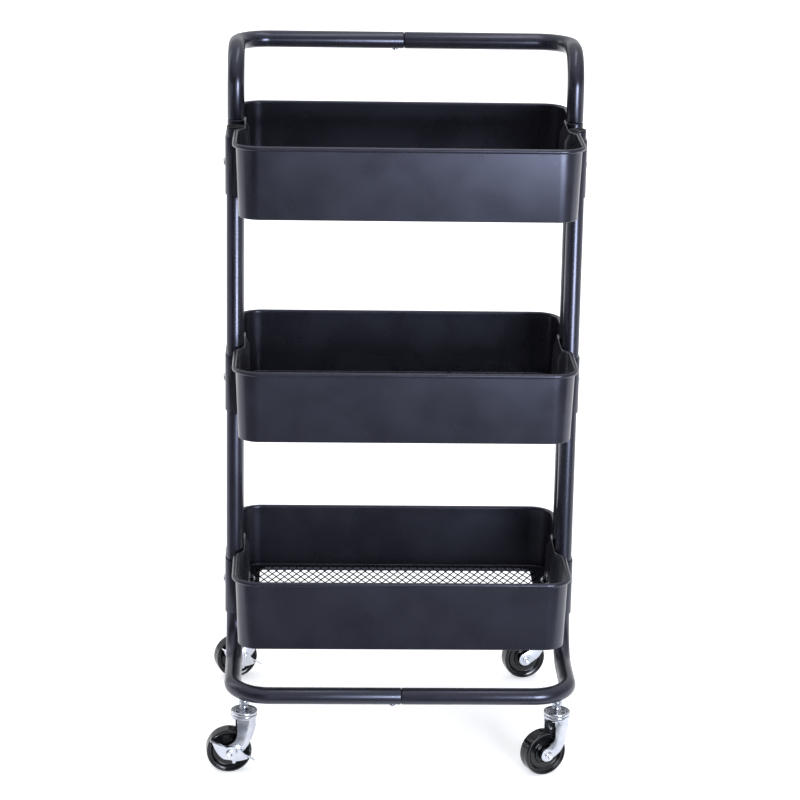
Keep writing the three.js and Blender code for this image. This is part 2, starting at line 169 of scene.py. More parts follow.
def skin(rings, loop=False):
    """A closed surface through rings of points.

    A ring of one point is a pole, and loop joins the last ring to the first.
    """
    corners, starts = [], []
    for ring in rings:
        starts.append(len(corners))
        corners.extend(ring)
    faces = []
    for i in range(len(rings) if loop else len(rings) - 1):
        j = (i + 1) % len(rings)
        count = max(len(rings[i]), len(rings[j]))
        for k in range(count):
            quad = [starts[i] + k % len(rings[i]), starts[i] + (k + 1) % len(rings[i]),
                    starts[j] + (k + 1) % len(rings[j]), starts[j] + k % len(rings[j])]
            faces.append(list(dict.fromkeys(quad)))
    if not loop:
        for i in (0, len(rings) - 1):
            if len(rings[i]) > 1:
                faces.append([starts[i] + k for k in range(len(rings[i]))])
    mesh = bpy.data.meshes.new("skin")
    mesh.from_pydata(corners, [], faces)
    return facing_out(mesh)


def turned(profile, sides=48, reach=None):
    """A piece turned about Z from points of [radius, height]; reach may change the radius with the angle."""
    rings = []
    for radius, height in profile:
        if radius < ON_AXIS:
            rings.append([Vector((0, 0, height))])
            continue
        ring = []
        for k in range(sides):
            angle = 2 * math.pi * k / sides
            r = reach(radius, angle) if reach else radius
            ring.append(Vector((r * math.cos(angle), r * math.sin(angle), height)))
        rings.append(ring)
    return skin(rings, loop=profile[0][0] > ON_AXIS)


def pulled(outline, low, high):
    """A flat outline given a thickness from one height to another."""
    return skin([[Vector((p[0], p[1], z)) for p in outline] for z in (low, high)])


def drawn_in_side_view(mesh):
    """Stands a piece drawn in X and Y up, so that its drawing is seen from the side, along Y."""
    mesh.transform(Matrix.Rotation(math.pi / 2, 4, "X"))
    return mesh


def stations_along(path):
    """For each point of a path, its direction and two directions across it, carried along without twisting."""
    stations = []
    across = None
    for i, point in enumerate(path):
        before, after = path[max(i - 1, 0)], path[min(i + 1, len(path) - 1)]
        along = (after - before).normalized()
        if across is None:
            across = along.orthogonal().normalized()
        across = (across - along * across.dot(along)).normalized()
        stations.append((point, along, across, along.cross(across)))
    return stations


def ring_at(station, radius, ahead=0.0):
    """A round ring across a path at one of its stations, or some way ahead of it."""
    point, along, across, other = station
    middle = point + along * ahead
    angles = [2 * math.pi * k / TUBE_SIDES for k in range(TUBE_SIDES)]
    return [middle + (across * math.cos(a) + other * math.sin(a)) * radius for a in angles]


# A tube's end as [distance past the end, radius]: a plain rounded edge, or a neck that fits the next tube.
NECK = 7.2
NECK_BORE = 6.2
NECK_LENGTH = 28
ROUNDED_EDGE = [(-1.3, TUBE), (-0.7, TUBE - 0.15), (-0.2, TUBE - 0.6), (0, TUBE - 0.95)]
PLAIN_END = [*ROUNDED_EDGE, (0, TUBE - WALL + 0.1), (-0.3, TUBE - WALL)]
NECK_END = [*ROUNDED_EDGE, (0, NECK), (NECK_LENGTH - 1.5, NECK), (NECK_LENGTH, NECK - 0.6),
            (NECK_LENGTH, NECK_BORE), (-6, NECK_BORE), (-6.2, TUBE - WALL)]


def tube(corners, bends, start=PLAIN_END, finish=PLAIN_END):
    """A bent steel tube with its bore open at both ends."""
    stations = stations_along(rounded(corners, [0, *bends, 0], BEND_STEPS))
    rings = [ring_at(stations[0], radius, -past) for past, radius in reversed(start)]
    rings += [ring_at(station, TUBE) for station in stations[1:-1]]
    rings += [ring_at(stations[-1], radius, past) for past, radius in finish]
    rings += [ring_at(station, TUBE - WALL) for station in reversed(stations[1:-1])]
    return skin(rings, loop=True)


def as_object(mesh, name="work"):
    made = bpy.data.objects.new(name, mesh)
    scene.collection.objects.link(made)
    return made


def plain_mesh(worked):
    """The evaluated shape of a working object as a plain mesh; the object is removed."""
    bpy.context.view_layer.update()
    evaluated = worked.evaluated_get(bpy.context.evaluated_depsgraph_get())
    mesh = bpy.data.meshes.new_from_object(evaluated)
    bpy.data.objects.remove(worked)
    return mesh


def combined(mesh, other, operation):
    """Joins another solid to a mesh ('UNION') or cuts it away ('DIFFERENCE')."""
    worked, tool = as_object(mesh), as_object(other, "tool")
    change = worked.modifiers.new("cut", "BOOLEAN")
    change.object = tool
    change.operation = operation
    change.solver = "EXACT"
    made = plain_mesh(worked)
    bpy.data.objects.remove(tool)
    return made


def eased(mesh, width, steps=2, angle=32):
    """Rounds the sharp edges of a pressed or cut piece."""
    worked = as_object(mesh)
    bevel = worked.modifiers.new("edges", "BEVEL")
    bevel.width = width
    bevel.segments = steps
    bevel.limit_method = "ANGLE"
    bevel.angle_limit = math.radians(angle)
    return plain_mesh(worked)


def rod(start, end, radius, sides=24):
    """A round bar from one point to another."""
    start, end = Vector(start), Vector(end)
    length = (end - start).length
    mesh = turned([(0, 0), (radius, 0), (radius, length), (0, length)], sides)
    mesh.transform(Matrix.Translation(start) @ (end - start).to_track_quat("Z", "Y").to_matrix().to_4x4())
    return mesh


def piece(name, mesh, look, body, stands_for, place=Matrix.Identity(4), crease=32):
    """Brings a mesh drawn in millimetres to its place in the cart and lets it ride on its body."""
    mesh.transform(Matrix.Scale(MM, 4) @ Matrix.Translation(cart_middle) @ place)
    mesh.materials.clear()
    mesh.materials.append(look)
    mesh.shade_smooth()
    mesh.set_sharp_from_angle(angle=math.radians(crease))
    made = as_object(mesh, name)
    mesh.name = name
    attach(made, body)
    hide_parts(*stands_for)
    return made


# ---------- finishes ----------
# Most of a noise pattern lies between these two values.
NOISE_LOW = 0.35
NOISE_HIGH = 0.65


class Finish:
    """A material whose nodes are added one by one and wired as they are made."""

    def __init__(self, name):
        self.material = bpy.data.materials.new(name)
        self.material.use_nodes = True
        self.tree = self.material.node_tree
        self.shader = self.tree.nodes["Principled BSDF"]
        self.place = self.node("ShaderNodeTexCoord").outputs["Object"]

    def node(self, kind, inputs=None, **settings):
        made = self.tree.nodes.new(kind)
        for key, value in settings.items():
            setattr(made, key, value)
        for key, value in (inputs or {}).items():
            self.set(made.inputs[key], value)
        return made

    def set(self, socket, value):
        if isinstance(value, bpy.types.NodeSocket):
            self.tree.links.new(value, socket)
        else:
            socket.default_value = value

    def noise(self, size, detail=2.0, roughness=0.5, place=None):
        """A soft random pattern whose lumps are about size millimetres across."""
        made = self.node("ShaderNodeTexNoise", {
            "Vector": place or self.place, "Scale": 1 / (size * MM), "Detail": detail, "Roughness": roughness,
        })
        return made.outputs["Fac"]

    def squeezed(self, factors):
        """The object's own place with each axis scaled, for patterns that run one way."""
        return self.node("ShaderNodeMapping", {"Vector": self.place, "Scale": factors}).outputs["Vector"]

    def between(self, value, low, high, start=NOISE_LOW, end=NOISE_HIGH):
        """Maps a value that runs from start to end onto low to high."""
        made = self.node("ShaderNodeMapRange", {
            "Value": value, "From Min": start, "From Max": end, "To Min": low, "To Max": high,
        })
        return made.outputs["Result"]

    def blend(self, share, first, second):
        """Mixes two colours, each a tuple or a socket."""
        first, second = ((*tone, 1) if isinstance(tone, tuple) else tone for tone in (first, second))
        return self.node("ShaderNodeMix", {0: share, 6: first, 7: second}, data_type="RGBA").outputs[2]

    def grey(self, tone):
        return self.node("ShaderNodeCombineColor", {"Red": tone, "Green": tone, "Blue": tone}).outputs[0]

    def relief(self, height, depth, strength=1.0, under=None):
        """Turns a pattern into relief of a depth in millimetres, laid over another relief."""
        inputs = {"Height": height, "Distance": depth * MM, "Strength": strength}
        if under is not None:
            inputs["Normal"] = under
        return self.node("ShaderNodeBump", inputs).outputs["Normal"]

    def finished(self, **sockets):
        for key, value in sockets.items():
            self.set(self.shader.inputs[key.replace("_", " ")], value)
        return self.material


NIB_SPACING = 9
FLECK_LIFT = 3.2
COAT_TINT = (0.72, 0.75, 1.0, 1)


def powder_coat(name, dark, light, smooth, rough):
    """Baked powder paint: fine orange-peel, faint shade clouds and a few dust nibs."""
    coat = Finish(name)
    clouds = coat.noise(30, 3)
    peel = coat.noise(1.6, 2)
    grain = coat.noise(0.35, 3, 0.65)
    nib = coat.node("ShaderNodeTexVoronoi", {"Vector": coat.place, "Scale": 1 / (NIB_SPACING * MM)})
    nib_height = coat.between(nib.outputs["Distance"], 1.0, 0.0, 0.0, 0.05)
    base = coat.blend(coat.between(clouds, 0.0, 1.0), dark, light)
    flecked = coat.blend(coat.between(grain, 0.0, 0.35, 0.5, 0.75), base, tuple(FLECK_LIFT * c for c in light))
    relief = coat.relief(peel, 0.045, 0.5)
    relief = coat.relief(grain, 0.012, 0.5, relief)
    relief = coat.relief(nib_height, 0.05, 0.4, relief)
    sheen = coat.between(coat.noise(55, 2), smooth, rough)
    return coat.finished(Base_Color=flecked, Roughness=sheen, Normal=relief, Specular_IOR_Level=0.6,
                         Specular_Tint=COAT_TINT, Coat_Weight=0.06, Coat_Roughness=0.12)


ZINC_BLUE = (0.50, 0.53, 0.60)
ZINC_STRAW = (0.60, 0.61, 0.64)
ZINC_DULL = (0.42, 0.44, 0.48)


def zinc_plate(name):
    """Bright zinc plating over pressed steel: rolling streaks, blue and straw tints and light scuffs."""
    plate = Finish(name)
    cloud = plate.noise(9, 3)
    tint = plate.noise(16, 2)
    streak = plate.noise(2.2, 3, 0.6, plate.squeezed((1, 1, 0.12)))
    grain = plate.noise(0.3, 2)
    scuff = plate.between(plate.noise(3.5, 4, 0.7), 0.0, 1.0, 0.6, 0.78)
    base = plate.blend(plate.between(tint, 0.0, 1.0), ZINC_BLUE, ZINC_STRAW)
    dulled = plate.blend(plate.between(scuff, 0.0, 0.5, 0.0, 1.0), base, ZINC_DULL)
    polish = plate.between(cloud, 0.15, 0.27)
    relief = plate.relief(streak, 0.02, 0.35)
    relief = plate.relief(grain, 0.006, 0.35, relief)
    return plate.finished(Base_Color=dulled, Roughness=polish, Metallic=1.0, Normal=relief)


PLASTIC_DARK = (0.002, 0.002, 0.0025)
PLASTIC_LIGHT = (0.006, 0.006, 0.007)
PLASTIC_WORN = (0.03, 0.03, 0.033)


def moulded_black(name, smooth, rough, depth):
    """Black moulded plastic with flow marks, a grain of the given depth and fine scratches."""
    plastic = Finish(name)
    flow = plastic.noise(14, 3)
    grain = plastic.noise(0.4, 2)
    scratch = plastic.noise(2.5, 5, 0.75, plastic.squeezed((1, 1, 4)))
    base = plastic.blend(plastic.between(flow, 0.0, 1.0), PLASTIC_DARK, PLASTIC_LIGHT)
    worn = plastic.blend(plastic.between(scratch, 0.0, 0.3, 0.62, 0.75), base, PLASTIC_WORN)
    relief = plastic.relief(grain, depth, 0.4)
    relief = plastic.relief(flow, 0.05, 0.2, relief)
    return plastic.finished(Base_Color=worn, Roughness=plastic.between(scratch, smooth, rough, 0.4, 0.75),
                            Normal=relief, Specular_IOR_Level=0.38)


COAT = powder_coat("black powder coat", (0.0045, 0.0043, 0.0062), (0.0072, 0.0070, 0.0098), 0.25, 0.33)
MESH_COAT = powder_coat("black coated expanded metal", (0.0035, 0.0035, 0.0045), (0.006, 0.006, 0.0075),
                        0.40, 0.50)
ZINC = zinc_plate("bright zinc plate")
WHEEL_PLASTIC = moulded_black("black wheel plastic", 0.07, 0.2, 0.004)
CAP_PLASTIC = moulded_black("black cap plastic", 0.34, 0.48, 0.02)


# ---------- things that repeat, made with geometry nodes ----------
class Nodes:
    """A geometry node tree whose sizes are named inputs; links are made as nodes are added."""

    def __init__(self, name, sizes):
        self.tree = bpy.data.node_groups.new(name, "GeometryNodeTree")
        self.tree.interface.new_socket("Geometry", in_out="INPUT", socket_type="NodeSocketGeometry")
        self.ids = {}
        for size, value in sizes.items():
            kind = "NodeSocketInt" if isinstance(value, int) else "NodeSocketFloat"
            socket = self.tree.interface.new_socket(size, in_out="INPUT", socket_type=kind)
            self.ids[size] = socket.identifier
        self.tree.interface.new_socket("Geometry", in_out="OUTPUT", socket_type="NodeSocketGeometry")
        self.given = self.tree.nodes.new("NodeGroupInput").outputs
        self.sizes = sizes

    def add(self, kind, inputs=None, out=0, **settings):
        made = self.tree.nodes.new(kind)
        for key, value in settings.items():
            setattr(made, key, value)
        for key, value in (inputs or {}).items():
            if isinstance(value, bpy.types.NodeSocket):
                self.tree.links.new(value, made.inputs[key])
            else:
                made.inputs[key].default_value = value
        return made.outputs[out]

    def maths(self, operation, *values):
        return self.add("ShaderNodeMath", dict(enumerate(values)), operation=operation)

    def finish(self, geometry, look):
        """Ends the tree with real geometry and its material, and returns the tree itself."""
        real = self.add("GeometryNodeRealizeInstances", {"Geometry": geometry})
        dressed = self.add("GeometryNodeSetMaterial", {"Geometry": real, "Material": look})
        end = self.tree.nodes.new("NodeGroupOutput")
        self.tree.links.new(dressed, end.inputs[0])
        return self

    def on(self, mesh):
        """The plain mesh that the tree makes of a mesh, in millimetres."""
        worked = as_object(mesh)
        change = worked.modifiers.new("nodes", "NODES")
        change.node_group = self.tree
        for size, value in self.sizes.items():
            change[self.ids[size]] = value
        return plain_mesh(worked)


def copies(shape, look, name):
    """A tree that sets a copy of an object at each point of a mesh, turned by the point's turn attribute."""
    nodes = Nodes(name, {"Size": 1.0})
    copied = nodes.add("GeometryNodeObjectInfo", {"Object": shape}, out="Geometry")
    turn = nodes.add("GeometryNodeInputNamedAttribute", {"Name": "turn"}, data_type="FLOAT_VECTOR")
    points = nodes.add("GeometryNodeMeshToPoints", {"Mesh": nodes.given["Geometry"]})
    placed = nodes.add("GeometryNodeInstanceOnPoints", {
        "Points": points, "Instance": copied, "Rotation": turn, "Scale": nodes.given["Size"],
    })
    return nodes.finish(placed, look)


def set_out(template, look, name, places):
    """Copies of a piece as one mesh, at places given as (point, direction its Z axis takes)."""
    spots = bpy.data.meshes.new(name)
    spots.from_pydata([point for point, _ in places], [], [])
    turn = spots.attributes.new("turn", "FLOAT_VECTOR", "POINT")
    for i, (_, direction) in enumerate(places):
        turn.data[i].vector = Vector(direction).to_track_quat("Z", "Y").to_euler()
    shape = as_object(template, "template")
    made = copies(shape, look, name).on(spots)
    bpy.data.objects.remove(shape)
    return made


# The lattice of the tray floors. Each strand's wave starts at a share of a cell, its crests are drawn a little
# too high and cut flat, and every second strand lies slightly higher than its neighbours.
STRAND = {"Cell Width": 9.65, "Cell Length": 20.2, "Strand Width": 1.25, "Strand Height": 0.8,
          "Half Width": 168.9, "Half Depth": 127.9, "Corner": 15.4,
          "Wave Start": 0.75, "Wave Gain": 1.08, "Second Lift": 0.12}
STEPS_PER_CELL = 12
PAST_ALL_STRANDS = 1000.5


def expanded_metal():
    """Slit and stretched sheet: wavy strands run front to back and touch their neighbours at the knuckles."""
    strands = int(2 * STRAND["Half Width"] / (STRAND["Cell Width"] / 2)) + 1
    cells_along = int(2 * STRAND["Half Depth"] / STRAND["Cell Length"]) + 1
    nodes = Nodes("expanded metal", {**STRAND, "Strands": strands, "Steps": STEPS_PER_CELL * cells_along})
    given, maths, add = nodes.given, nodes.maths, nodes.add
    pitch = maths("DIVIDE", given["Cell Width"], 2.0)
    back = add("ShaderNodeCombineXYZ", {"Y": maths("MULTIPLY", given["Half Depth"], -1.0)})
    front = add("ShaderNodeCombineXYZ", {"Y": given["Half Depth"]})
    line = add("GeometryNodeCurvePrimitiveLine", {"Start": back, "End": front})
    line = add("GeometryNodeResampleCurve", {"Curve": line, "Count": given["Steps"]})
    first = add("ShaderNodeCombineXYZ", {"X": maths("MULTIPLY", maths("SUBTRACT", given["Strands"], 1), -0.5)})
    first = add("ShaderNodeVectorMath", {0: first, "Scale": pitch}, operation="SCALE")
    step = add("ShaderNodeCombineXYZ", {"X": pitch})
    row = add("GeometryNodeMeshLine", {"Count": given["Strands"], "Start Location": first, "Offset": step})
    strand_set = add("GeometryNodeRealizeInstances", {
        "Geometry": add("GeometryNodeInstanceOnPoints", {"Points": row, "Instance": line})})
    spot = nodes.tree.nodes.new("ShaderNodeSeparateXYZ")
    nodes.tree.links.new(add("GeometryNodeInputPosition"), spot.inputs[0])
    x, y = spot.outputs["X"], spot.outputs["Y"]
    number = maths("ROUND", maths("ADD", maths("DIVIDE", x, pitch), PAST_ALL_STRANDS))
    along = maths("ADD", maths("ADD", maths("DIVIDE", y, given["Cell Length"]), given["Wave Start"]),
                  maths("DIVIDE", number, 2.0))
    wave = maths("SUBTRACT", maths("MULTIPLY", maths("PINGPONG", along, 0.5), 4.0), 1.0)
    flat_wave = maths("MAXIMUM", maths("MINIMUM", maths("MULTIPLY", wave, given["Wave Gain"]), 1.0), -1.0)
    sideways = maths("MULTIPLY", flat_wave, maths("DIVIDE", pitch, 2.0))
    lift = maths("MULTIPLY", maths("MODULO", number, 2.0), given["Second Lift"])
    strand_set = add("GeometryNodeSetPosition", {
        "Geometry": strand_set, "Offset": add("ShaderNodeCombineXYZ", {"X": sideways, "Z": lift})})
    outside = []
    for value, half in ((x, given["Half Width"]), (y, given["Half Depth"])):
        past = maths("SUBTRACT", maths("ABSOLUTE", value), maths("SUBTRACT", half, given["Corner"]))
        outside.append(maths("POWER", maths("MAXIMUM", past, 0.0), 2.0))
    reach = maths("SQRT", maths("ADD", *outside))
    strand_set = add("GeometryNodeDeleteGeometry", {
        "Geometry": strand_set, "Selection": maths("GREATER_THAN", reach, given["Corner"])})
    section = add("GeometryNodeCurvePrimitiveQuadrilateral", {
        "Width": given["Strand Width"], "Height": given["Strand Height"]})
    solid = add("GeometryNodeCurveToMesh", {"Curve": strand_set, "Profile Curve": section, "Fill Caps": True})
    return nodes.finish(solid, MESH_COAT)


# ---------- tube frame ----------
STEM_ANGLE = 47
STEM_HOLE = 4.2
SEAM_SCREW_X = -10
SEAM_SCREW_HOLE = 1.9


def drilled(mesh, start, end, radius):
    return combined(mesh, rod(start, end, radius), "DIFFERENCE")


def seam_screw_place(bar_y, bar_z):
    return Vector((SEAM_SCREW_X, bar_y, bar_z - TUBE))


def drilled_for_seam_screw(mesh, bar_y, bar_z):
    hole = seam_screw_place(bar_y, bar_z)
    return drilled(mesh, hole - UP, hole + UP * TUBE, SEAM_SCREW_HOLE)


def stem_place(side, end):
    """A stem's place on the base tube's corner bend, at height 0."""
    angle = math.radians(STEM_ANGLE)
    x = COLUMN_X - CORNER_BEND + CORNER_BEND * math.cos(angle)
    y = BASE_Y - CORNER_BEND + CORNER_BEND * math.sin(angle)
    return Vector((side * x, end * y, 0))


def build_frame():
    for side_name, side in SIDES.items():
        x = side * COLUMN_X
        seam_end = NECK_END if side > 0 else PLAIN_END
        for end_name, end, top in (("front", -1, FRONT_TOP), ("rear", 1, REAR_TOP)):
            bar_y = end * BASE_Y
            mesh = tube([(x, end * COLUMN_Y, top), (x, end * COLUMN_Y, BASE_Z), (x, bar_y, BASE_Z),
                         (side * SEAM_HALF_GAP, bar_y, BASE_Z)], [LEG_BEND, CORNER_BEND], PLAIN_END, seam_end)
            stem = stem_place(side, end)
            mesh = drilled(mesh, stem + UP * (BASE_Z - TUBE - 1), stem + UP * BASE_Z, STEM_HOLE)
            mesh = drilled_for_seam_screw(mesh, bar_y, BASE_Z)
            node = f"{end_name}_frame_{side_name}"
            piece(f"{end_name}_upright_{side_name}", mesh, COAT, "frame", [node])
        foot = REAR_TOP + 2 * SEAM_HALF_GAP
        corners = [(x, COLUMN_Y, foot), (x, COLUMN_Y, HANDLE_Z), (x, HANDLE_Y, HANDLE_Z),
                   (side * SEAM_HALF_GAP, HANDLE_Y, HANDLE_Z)]
        mesh = tube(corners, [HANDLE_BEND, HANDLE_BEND], NECK_END, seam_end)
        mesh = drilled_for_seam_screw(mesh, HANDLE_Y, HANDLE_Z)
        piece(f"push_handle_{side_name}", mesh, COAT, "frame", [f"handle_{side_name}"])
        build_cap(side_name, x)


def build_cap(side_name, x):
    """A moulded cap with three gripping ribs on the plug inside the tube and a shallow dish on top."""
    plug, rib, plug_end = 7.2, 7.9, -10
    edge = rounded([(0, 0.9), (6.6, 1.0), (7.6, 1.5), (TUBE, 1.5), (TUBE, 0.3), (plug, 0.3)],
                   [0, 0.6, 0.6, 0.6, 0.15, 0], 4)
    ribs = [(plug, -1.5), (rib, -1.9), (plug, -3.2), (plug, -4.4), (rib, -4.8), (plug, -6.1), (plug, -7.2),
            (rib, -7.6), (7.0, -9.6), (6.0, plug_end), (0, plug_end)]
    mesh = turned(plain(edge) + ribs)
    place = Matrix.Translation((x, -COLUMN_Y, FRONT_TOP))
    piece(f"upright_cap_{side_name}", mesh, CAP_PLASTIC, "frame", [f"front_cap_{side_name}"],
          place)


# ---------- screws ----------
def pan_head_screw(head, height, shank, reach, slot):
    """A pan-head screw with a cross recess, drawn head up, with the underside of its head at height 0.

    Head, shank and slot are half widths, and reach is the length below the head.
    """
    def cross_section(half_length, half_width, z):
        corners = ((-1, -1), (1, -1), (1, 1), (-1, 1))
        return [Vector((sx * half_length, sy * half_width, z)) for sx, sy in corners]

    top = rounded([(head, 0), (head, height * 0.55), (head * 0.55, height), (0, height)],
                  [0, height * 0.35, head * 0.3, 0], 5)
    tip = [(0, -reach), (shank * 0.7, -reach), (shank, -reach + 0.8), (shank, 0)]
    mesh = turned(tip + plain(top), 32)
    for turn in (0, math.pi / 2):
        blade = skin([cross_section(slot * 0.4, slot * 0.18, height * 0.1),
                      cross_section(slot, slot * 0.24, height + 1)])
        blade.transform(Matrix.Rotation(turn, 4, "Z"))
        mesh = combined(mesh, blade, "DIFFERENCE")
    return mesh


def off_flat(angle):
    """How far an angle is from the middle of the nearest of six flats."""
    return (angle + math.pi / 6) % (math.pi / 3) - math.pi / 6


def hex_nut(corner_radius, thickness, bore):
    """A hexagon nut with its corners turned off at both faces."""
    flat = corner_radius * math.cos(math.pi / 6)

    def reach(radius, angle):
        if radius <= bore:
            return radius
        return min(radius, flat / math.cos(off_flat(angle)))

    half, chamfer, past_corner = thickness / 2, 0.7, corner_radius + 0.1
    return turned([(bore, -half), (flat * 0.97, -half), (past_corner, -half + chamfer),
                   (past_corner, half - chamfer), (flat * 0.97, half), (bore, half)], 48, reach)


def build_seam_screws():
    screw = pan_head_screw(head=3.2, height=1.8, shank=1.6, reach=4, slot=1.9)
    spots = {"handle_screw": (HANDLE_Y, HANDLE_Z), "front_base_screw": (-BASE_Y, BASE_Z),
             "rear_base_screw": (BASE_Y, BASE_Z)}
    places = [(seam_screw_place(y, z) - UP * 0.3, (0, 0, -1)) for y, z in spots.values()]
    mesh = set_out(screw, ZINC, "seam screws", places)
    piece("seam_screws", mesh, ZINC, "frame", list(spots))


# ---------- trays ----------
# Depths in a tray are measured down from its rim. The recess is dished fully within RECESS_FLAT of the middle
# of a short side and runs out at RECESS_END. Above HEM_END the rolled rim is squashed flatter there.
TRAY = {"half_width": 190.4, "half_depth": 140, "corner": 30, "recess": 11.3, "floor": 74, "sheet": 0.9}
OPENING = {"half_width": 162, "half_depth": 123, "corner": 14}
RECESS_FLAT = 28
RECESS_END = 46
STRAP_MIDDLE = 44.5
STRAP_HOLE = 2.9
FOOT = 81.2
RIM_RADIUS = 2.6
HEM_END = 12
SQUASH_HEIGHT = 6.4
RIM_SQUASH = 0.68


def recess_share(y):
    t = clamped((abs(y) - RECESS_FLAT) / (RECESS_END - RECESS_FLAT))
    return 0.5 * (1 + math.cos(math.pi * t))


def tray_outline(half_width, half_depth, corner, recess):
    """The outline of a tray seen from above; its short sides are dished in where the uprights stand."""
    steps = 12
    shoulder = [RECESS_FLAT + (RECESS_END - RECESS_FLAT) * k / steps for k in range(steps + 1)]
    side = [-y for y in reversed(shoulder)] + [-RECESS_FLAT / 2, 0, RECESS_FLAT / 2] + shoulder
    right = [Vector((half_width - recess * recess_share(y), y)) for y in side]
    left = [-point for point in right]
    x, y = half_width - corner, half_depth - corner
    return (right + arc(x, y, corner, 0, 90, 16) + arc(-x, y, corner, 90, 180, 16)
            + left + arc(-x, -y, corner, 180, 270, 16) + arc(x, -y, corner, 270, 360, 16))


def tray_section():
    """The sheet's section as [distance in from the rim's outer face, height]: foot, wall, rim and floor."""
    sheet, floor, rim = TRAY["sheet"], TRAY["floor"], RIM_RADIUS
    around = [math.radians(a) for a in range(-70, 181, 25)]
    roll = [(rim - rim * math.cos(a), -rim + rim * math.sin(a)) for a in around]
    foot = rounded([(9.6, -floor - sheet), (9.1, -FOOT), (7.0, -FOOT), (4.35, -HEM_END), (4.1, -5.6)],
                   [0, 0.7, 1.2, 0, 0], 5)
    inner = rounded([(5.0, -4.5), (5.3, -HEM_END), (7.8, -floor), (12, -floor)], [0, 0, 1.6, 0], 4)
    return plain(foot) + roll + plain(inner)


def tray_mesh():
    """The pressed shell, with the floor's opening and a hole through both short sides for the strap screws."""
    def ring(inset, height):
        squash = RIM_SQUASH * clamped((HEM_END + height) / SQUASH_HEIGHT)
        outline = tray_outline(TRAY["half_width"] - inset, TRAY["half_depth"] - inset, TRAY["corner"] - inset,
                               TRAY["recess"] - inset * squash)
        return [Vector((p.x, p.y, height)) for p in outline]

    rings = [ring(inset, height) for inset, height in tray_section()]
    for grow, below in ((0.6, 0), (0.1, 0.2), (0, 0.45), (0.1, 0.7), (0.6, TRAY["sheet"])):
        edge = tray_outline(*(measure + grow for measure in OPENING.values()), 0)
        rings.append([Vector((p.x, p.y, -TRAY["floor"] - below)) for p in edge])
    mesh = skin(rings, loop=True)
    outside = Vector((TRAY["half_width"] + 1, 0, 0))
    return drilled(mesh, -outside - UP * STRAP_MIDDLE, outside - UP * STRAP_MIDDLE, STRAP_HOLE)


WELD_SPACING = 30
WELD_X = 165.4
WELD_Y = 126.2


def spot_welds():
    """Flattened weld spots that hold the expanded metal to the tray's floor edge."""
    spots = []
    for k in range(-5, 6):
        spots += [(Vector((k * WELD_SPACING, end * WELD_Y, 0)), UP) for end in (-1, 1)]
    for k in range(-3, 4):
        spots += [(Vector((side * WELD_X, k * WELD_SPACING, 0)), UP) for side in (-1, 1)]
    bead = turned([(0, -0.2), (1.7, -0.2), (1.75, 0.3), (1.5, 0.75), (1.0, 0.95), (0.45, 0.8), (0, 0.72)], 14)
    return set_out(bead, COAT, "spot welds", spots)


def build_trays():
    shell = tray_mesh()
    lattice = expanded_metal().on(bpy.data.meshes.new("lattice"))
    welds = spot_welds()
    lattice_gap, bead_lift = 0.3, 0.2
    for level, rim in RIMS.items():
        at_rim = Matrix.Translation((0, 0, rim))
        piece(f"{level}_tray_shell", shell.copy(), COAT, "frame", [f"{level}_tray"], at_rim)
        floor = rim - TRAY["floor"]
        on_floor = Matrix.Translation((0, 0, floor + lattice_gap + STRAND["Strand Height"] / 2))
        piece(f"{level}_tray_lattice", lattice.copy(), MESH_COAT, "frame", [f"{level}_tray_mesh"],
              on_floor)
        beads = Matrix.Translation((0, 0, floor + STRAND["Strand Height"] + bead_lift))
        piece(f"{level}_tray_spot_welds", welds.copy(), COAT, "frame", [], beads)


# ---------- straps with their screws and nuts ----------
STRAP_INNER = TUBE + 0.3
STRAP_OUTER = STRAP_INNER + 1.2
STRAP_LEG_END = 177.2
STRAP_HALF_HEIGHT = 32
STRAP_SCREW_TIP = 166.2
STRAP_NUT_X = 169.9


def strap_mesh(side):
    """A strap bent round both uprights of a side, drawn about its middle height."""
    inner, outer, leg = STRAP_INNER, STRAP_OUTER, STRAP_LEG_END
    outside = rounded([(leg, -COLUMN_Y - outer), (COLUMN_X + outer, -COLUMN_Y - outer),
                       (COLUMN_X + outer, COLUMN_Y + outer), (leg, COLUMN_Y + outer)], outer, 14)
    inside = rounded([(leg, COLUMN_Y + inner), (COLUMN_X + inner, COLUMN_Y + inner),
                      (COLUMN_X + inner, -COLUMN_Y - inner), (leg, -COLUMN_Y - inner)], inner, 14)
    mesh = eased(pulled(outside + inside, -STRAP_HALF_HEIGHT, STRAP_HALF_HEIGHT), 0.35)
    mesh = drilled(mesh, (COLUMN_X, 0, 0), (COLUMN_X + outer + 2, 0, 0), STRAP_HOLE)
    if side < 0:
        mesh.transform(Matrix.Rotation(math.pi, 4, "Z"))
    return mesh


def build_straps():
    head_x = COLUMN_X + STRAP_OUTER + 0.15
    screw = pan_head_screw(head=4.6, height=2.7, shank=2.3, reach=head_x - STRAP_SCREW_TIP, slot=2.6)
    nut = hex_nut(corner_radius=4.62, thickness=4, bore=2.5)
    screws, nuts = [], []
    for level, rim in RIMS.items():
        height = rim - STRAP_MIDDLE
        for side_name, side in SIDES.items():
            piece(f"{level}_clamp_strap_{side_name}", strap_mesh(side), COAT, "frame",
                  [f"{level}_strap_{side_name}"], Matrix.Translation((0, 0, height)))
            screws.append((Vector((side * head_x, 0, height)), (side, 0, 0)))
            nuts.append((Vector((side * STRAP_NUT_X, 0, height)), (side, 0, 0)))
    names = [f"{level}_strap_{{}}_{side_name}" for level in RIMS for side_name in SIDES]
    piece("strap_screws", set_out(screw, ZINC, "strap screws", screws), ZINC, "frame",
          [name.format("screw") for name in names])
    piece("strap_nuts", set_out(nut, COAT, "strap nuts", nuts), COAT, "frame",
          [name.format("nut") for name in names], crease=20)


